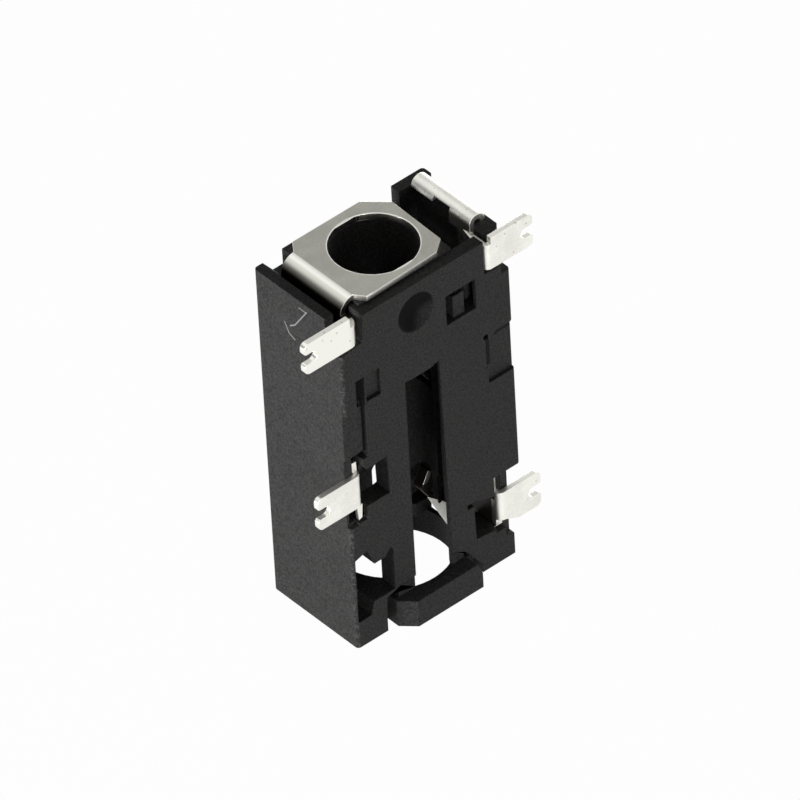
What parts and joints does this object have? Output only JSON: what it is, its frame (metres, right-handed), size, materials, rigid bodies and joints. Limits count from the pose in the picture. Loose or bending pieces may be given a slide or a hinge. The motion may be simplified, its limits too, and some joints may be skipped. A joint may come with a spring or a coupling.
{
  "type": "surface-mount audio jack",
  "caption": "Small surface-mount audio jack: black moulded housing with a metal mouth plate, inner spring contacts and forked solder tabs.",
  "frame": {"origin": "On the axis of the plug bore, in the plane of the rear end, on which the jack rests.", "axes": "+Z runs out of the mouth along the bore. The board side with the solder tabs faces -Y. +X is to the right seen from the board side."},
  "size_m": [0.0085, 0.0041, 0.0123],
  "materials": {
    "housing": "fine matte grain",
    "plate": "satin nickel plating",
    "contact": "bright tin plating"
  },
  "bodies": {
    "root": {"housing": "housing", "sleeve_contact": "plate", "ring_two_contact": "contact", "ring_one_contact": "contact", "tip_contact": "contact"}
  },
  "joints": []
}
